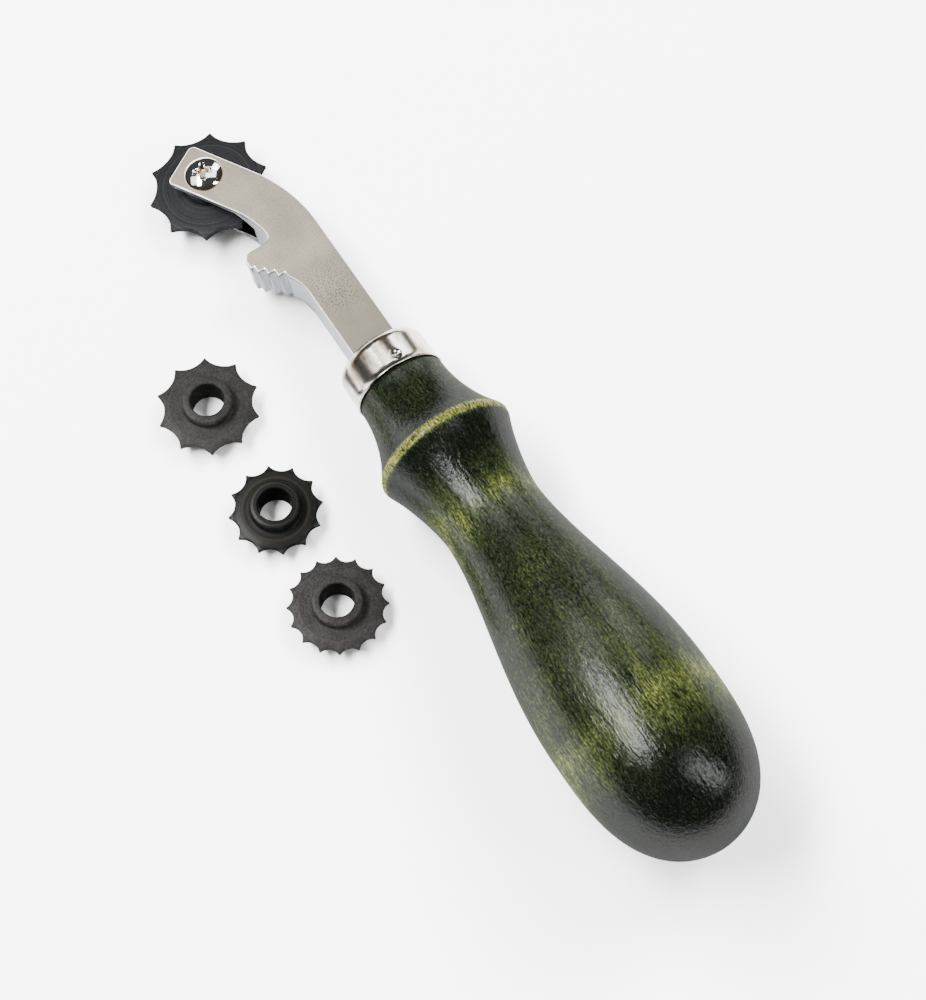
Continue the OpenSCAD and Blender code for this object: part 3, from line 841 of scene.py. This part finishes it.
# %% [markdown]
# ## The wheels' black oxide
# The turned steel is blackened in hot salts. The oxide has no thickness of its own, so the
# lathe's rings and small pits still show through it, as a dull grey sheen. One wheel kept
# a brownish bloom and a higher gloss. The rings are noise that depends only on the
# distance from the axle, and each wheel has its own centre, so each has its own material.
# Oxide is neither metal nor paint: it is half metallic here, and its dark tint keeps the
# bores and the teeth's flanks from flaring where the light grazes them.

# %% Blacken a wheel
BLOOM = "#3d3a31"
# Pits in the oxide are a few hundredths of a millimetre wide, too fine to show, so they are
# drawn ten times as coarse. So are the lathe's rings, which really lie about 0.1 mm apart,
# where a wheel is given a wide ring.
PIT = (0.3, 0.3, 0.3)


def black_oxide(name, place, ridge_r, dark, light, rings, grain, ring_width=0.16, gloss=0.0):
    """Blackened steel: flat charcoal with faint turning rings and a fine, dusty grain."""
    material, tree, surface, where = finish(name, place, Metallic=0.5, Specular_IOR_Level=0.0,
                                           Specular_Tint=colour("#3a3a3a"))
    level_with_axle = add(tree, VECTOR_MATH, [where, (1, 1, 0)], operation="MULTIPLY")
    away = add(tree, VECTOR_MATH, [level_with_axle], "Value", operation="LENGTH")
    on_line = add(tree, "ShaderNodeCombineXYZ", {"X": away})
    turning = blotches(tree, on_line, (ring_width, 1, 1), 3, 0.7)
    pits = blotches(tree, where, PIT, 2, 0.6)
    # Lightness is mottle plus rings, the ridge round the disc and the pits.
    mottle = add(tree, RANGE, [blotches(tree, where, (1.6, 1.6, 1.6), 4, 0.6), 0.3, 0.7,
                               0.42 - 0.2 * grain, 0.42 + 0.2 * grain])
    ringed = add(tree, MATH, [
        add(tree, RANGE, [turning, 0.3, 0.7, -0.5, 0.5]), rings, mottle],
        operation="MULTIPLY_ADD")
    from_ridge = add(tree, MATH, [
        add(tree, MATH, [away, ridge_r], operation="SUBTRACT")],
        operation="ABSOLUTE")
    ridged = add(tree, MATH, [
        add(tree, RANGE, [from_ridge, 0.0, 0.14, 0.10, 0.0]), ringed], operation="ADD")
    lightness = add(tree, MATH, [
        add(tree, RANGE, [pits, 0.3, 0.7, -0.28 * grain, 0.36 * grain]), ridged],
        operation="ADD")
    shade = add(tree, RAMP, [lightness], stops=[(0.0, dark), (1.0, light)])
    # Only the glossy wheel has a bloom, in broad rings.
    broad = blotches(tree, on_line, (0.5, 1, 1), 3, 0.6)
    bloomed = add(tree, MIX, {
        "Factor": add(tree, RANGE, [broad, 0.45, 0.75, 0.0, 0.85 * gloss]), 6: shade,
        7: colour(BLOOM)}, 2, data_type="RGBA")
    tree.links.new(bloomed, surface["Base Color"])
    tree.links.new(add(tree, RANGE, [turning, 0.3, 0.7, 0.60 - 0.2 * gloss, 0.48 - 0.2 * gloss]),
                   surface["Roughness"])
    dents = add(tree, MATH, [pits, 0.6 * grain], operation="MULTIPLY")
    relief = add(tree, MATH, [turning, 0.5 * rings, dents], operation="MULTIPLY_ADD")
    tree.links.new(add(tree, BUMP, {"Height": relief, "Distance": 0.035 * MM, "Strength": 0.5}),
                   surface["Normal"])
    return material


# %% Make a wheel in its place
def put_wheel(name, place, per_inch, teeth, oxide, body):
    """The place turns a tooth's point to its X, and a slice is centred on a hollow."""
    wheel = build_wheel(name, tip_radius(per_inch, teeth), teeth, oxide)
    half_tooth = Matrix.Rotation(math.pi / teeth, 4, "Z")
    finish_piece(wheel, place @ half_tooth, oxide, body, f"marking_wheel_{per_inch}", 30)


# %% Make the mounted wheel
MOUNTED_TURN = math.radians(4) - head_angle
mounted_place = at_axle @ Matrix.Rotation(MOUNTED_TURN, 4, "Z")
mounted_oxide = black_oxide("black_oxide_mounted", mounted_place, 6.1, "#1c1c1d", "#363738",
                            rings=0.9, grain=0.35, ring_width=0.32)
put_wheel("mounted_wheel_5", mounted_place, 5, 10, mounted_oxide, "mounted_wheel")

# %% Make the three spare wheels
# For each number of stitches an inch: the teeth, the turn in degrees and the oxide's look.
SPARES = {
    6: (10, 9.5, dict(dark="#232323", light="#3f3e3c", rings=0.35, grain=0.9)),
    8: (12, 7.8, dict(dark="#121416", light="#262625", rings=1.0, grain=0.6, gloss=0.9)),
    10: (16, 15.6, dict(dark="#242323", light="#403e3d", rings=0.5, grain=1.0)),
}
mounts = {mount["name"]: mount for mount in frame["record"]["mounts"]}


def bench_place(per_inch, turn):
    """Where a spare wheel lies: on its bore's mount, half way up its node's box."""
    low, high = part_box(f"marking_wheel_{per_inch}")
    centre = Vector(mounts[f"spare_bore_{per_inch}"]["pos_m"])
    centre.z = (low.z + high.z) / 2
    return (Matrix.Translation(centre) @ Matrix.Rotation(math.radians(turn), 4, "Z")
            @ Matrix.Scale(MM, 4))


for per_inch, (teeth, turn, look) in SPARES.items():
    place = bench_place(per_inch, turn)
    ridge_r = tip_radius(per_inch, teeth) - BEVEL_WIDTH
    oxide = black_oxide(f"black_oxide_{per_inch}", place, ridge_r, **look)
    put_wheel(f"spare_wheel_{per_inch}", place, per_inch, teeth, oxide, f"spare_{per_inch}")

# %% [markdown]
# ## The bench, the light and the camera
# The tool lies on a pale bench under large soft lights. Lacquer and chrome show what is
# around them, so the lights are laid out for their reflections: a broad one for the long
# highlight on the bulb, a second for the band beside it, and a dark gap between them. Those
# lights alone would leave the bench grey, and stronger ones would flood the lacquer. So two
# boxes light nothing but the bench, which gives it its brightness and its soft shadows.

# %% Lay the bench
BENCH_HALF = 1.5


def pale_bench():
    """Matt white board: nearly no sheen, so it takes shadows and shows no reflections."""
    signs = ((-1, -1), (1, -1), (1, 1), (-1, 1))
    corners = [(x * BENCH_HALF, y * BENCH_HALF, cad_box[0].z) for x, y in signs]
    bench = new_piece("bench", corners, [(0, 1, 2, 3)])
    material = bpy.data.materials.new("pale_bench")
    material.use_nodes = True
    surface = material.node_tree.nodes["Principled BSDF"].inputs
    surface["Base Color"].default_value = colour("#f4f4f5")
    surface["Roughness"].default_value = 0.9
    surface["Specular IOR Level"].default_value = 0.1
    bench.data.materials.append(material)
    return bench


bench = pale_bench()


# %% Aim a light or a camera
def towards(azimuth, elevation):
    """A direction from the origin. Azimuth 0 is towards -Y, as for a view."""
    a, e = math.radians(azimuth), math.radians(elevation)
    return Vector((math.sin(a) * math.cos(e), -math.cos(a) * math.cos(e), math.sin(e)))


def aim(name, data, back, distance, target):
    """Puts a light or a camera out along a direction from its target, facing the target."""
    thing = bpy.data.objects.new(name, data)
    thing.location = target + back * distance
    thing.rotation_mode = "QUATERNION"
    thing.rotation_quaternion = (-back).to_track_quat("-Z", "Y")
    bpy.context.scene.collection.objects.link(thing)
    return thing


# %% Hang the lights
LIGHT_DISTANCE = 0.9


def soft_light(name, azimuth, elevation, width, height, watts):
    """A soft box that faces the origin."""
    data = bpy.data.lights.new(name, "AREA")
    data.shape = "RECTANGLE"
    data.size, data.size_y = width, height
    data.energy = watts
    return aim(name, data, towards(azimuth, elevation), LIGHT_DISTANCE, Vector())


def light_only(light, piece):
    """Lets a light reach one piece and nothing else."""
    receivers = bpy.data.collections.new("lit_by_" + light.name)
    receivers.objects.link(piece)
    light.light_linking.receiver_collection = receivers


soft_light("key_box", -34, 63, 0.46, 0.20, 15.0)
soft_light("far_box", 131, 46, 0.19, 0.72, 8.0)
soft_light("side_reflector", -143, 31, 0.26, 0.45, 2.9)
soft_light("low_card", -40, 46, 0.42, 0.34, 1.3)
soft_light("fill_box", -92, 53, 0.3, 0.16, 1.6)
light_only(soft_light("bench_box_right", -170, 50, 0.35, 0.35, 22.0), bench)
light_only(soft_light("bench_box_left", -77, 50, 0.35, 0.35, 22.0), bench)
# A wide card above the head fills the screw's dome, which otherwise mirrors a dark room.
light_only(soft_light("dome_card", -112, 60, 0.95, 0.62, 7.0), screw)
print("lights:", ", ".join(sorted(light.name for light in bpy.data.lights)))

# %% Dim the room
world = bpy.data.worlds.new("studio")
world.use_nodes = True
background = world.node_tree.nodes["Background"].inputs
background["Color"].default_value = colour("#f2f4f7")
background["Strength"].default_value = 0.07
bpy.context.scene.world = world

# %% Set the camera
# It looks steeply down from the butt's side, from about a hand's length and a half away.
TARGET = Vector((2.6, 8.5, 0.0)) * MM
CAMERA_AZIMUTH, CAMERA_ELEVATION, CAMERA_DISTANCE = 57.51, 70.2, 330.9 * MM
lens = bpy.data.cameras.new("camera")
lens.sensor_width, lens.lens = 36.0, 92.6
camera = aim("camera", lens, towards(CAMERA_AZIMUTH, CAMERA_ELEVATION), CAMERA_DISTANCE, TARGET)
bpy.context.scene.camera = camera
print("camera at", [round(value, 4) for value in camera.location])
